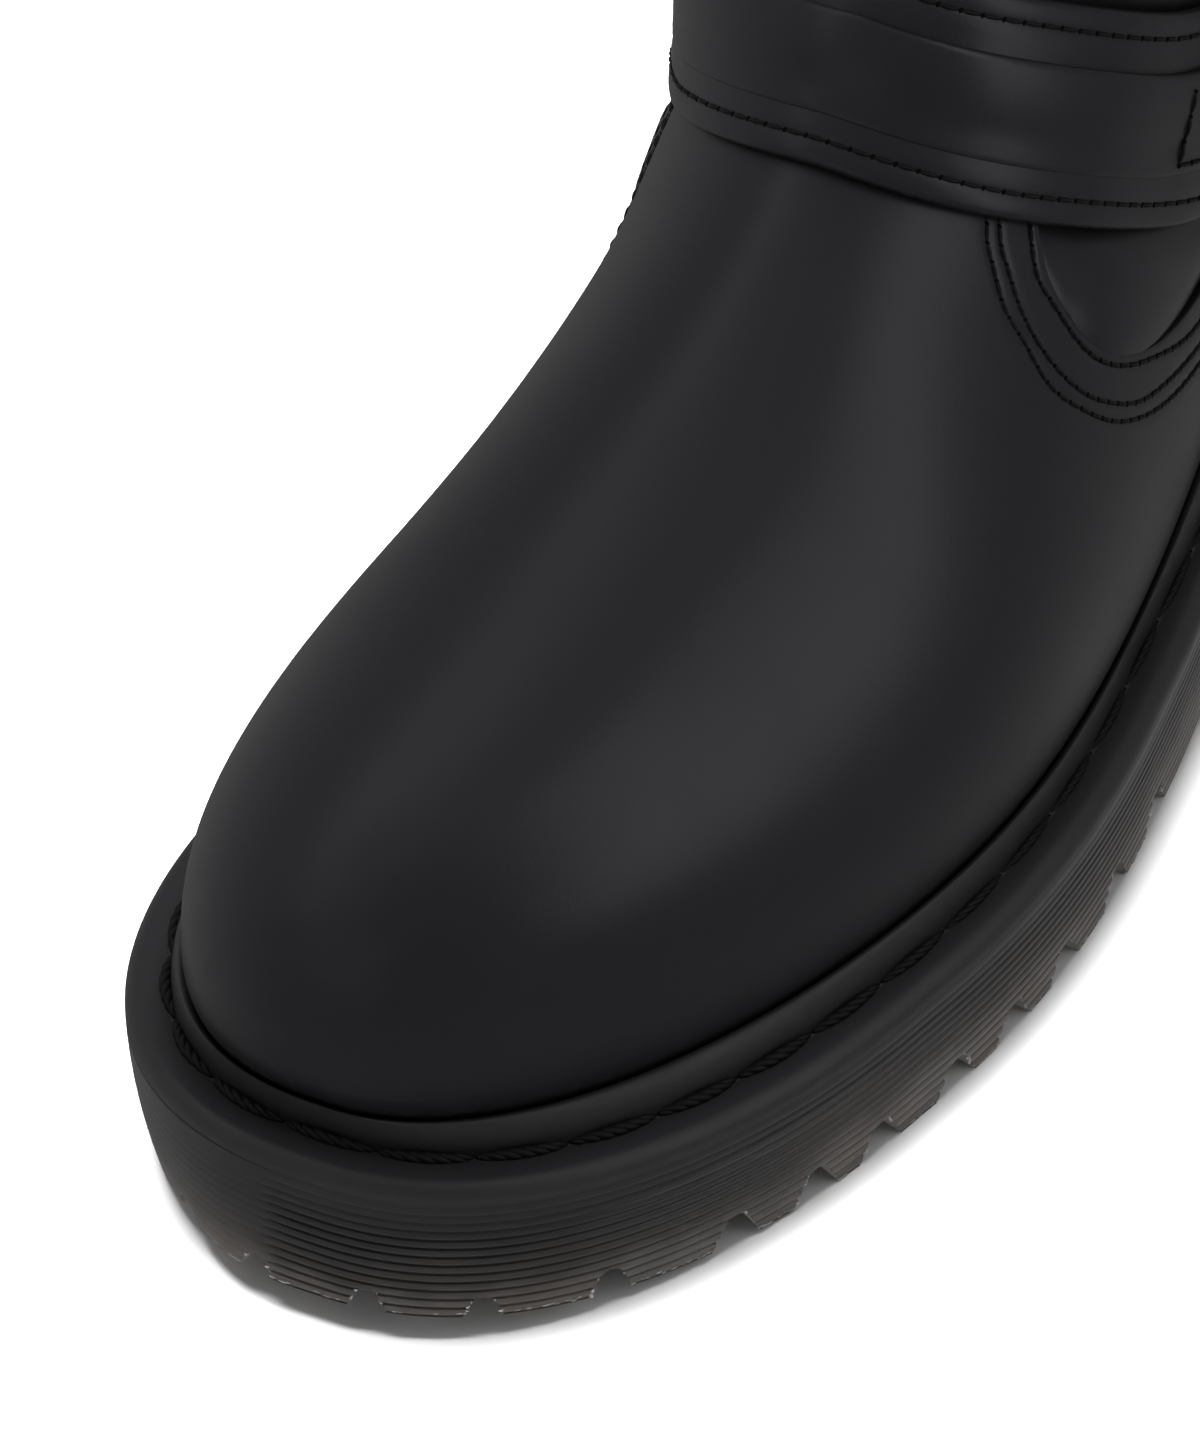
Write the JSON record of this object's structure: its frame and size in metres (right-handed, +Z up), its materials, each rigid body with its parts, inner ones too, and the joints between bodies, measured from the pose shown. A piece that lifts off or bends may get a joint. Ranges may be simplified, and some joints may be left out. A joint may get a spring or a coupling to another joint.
{
  "type": "harness boot",
  "caption": "Left harness boot: rounded hollow leather upper on a ribbed, lugged smoky sole with a stitched welt, and ankle straps joined by steel rings.",
  "frame": {"origin": "on the floor, under the middle of the boot's bounding box", "axes": "+X towards the toe, +Y towards the lateral (outer) side of this left boot, +Z up"},
  "size_m": [0.2926, 0.1099, 0.2603],
  "materials": {
    "outsole": "smoky translucent, satin",
    "heel": "smoky translucent, satin",
    "welt": "satin black",
    "insole": "matte",
    "upper": "smooth satin black",
    "ankle_strap_base": "smooth satin black",
    "ankle_strap_front": "smooth satin black",
    "ankle_strap_rear": "smooth satin black",
    "ring_lateral": "polished",
    "ring_medial": "polished"
  },
  "bodies": {
    "root": {"outsole": "outsole", "heel": "heel", "welt": "welt", "insole": "insole", "upper": "upper", "ankle_strap_base": "ankle_strap_base", "ankle_strap_front": "ankle_strap_front", "ankle_strap_rear": "ankle_strap_rear", "ring_lateral": "ring_lateral", "ring_medial": "ring_medial"}
  },
  "joints": []
}
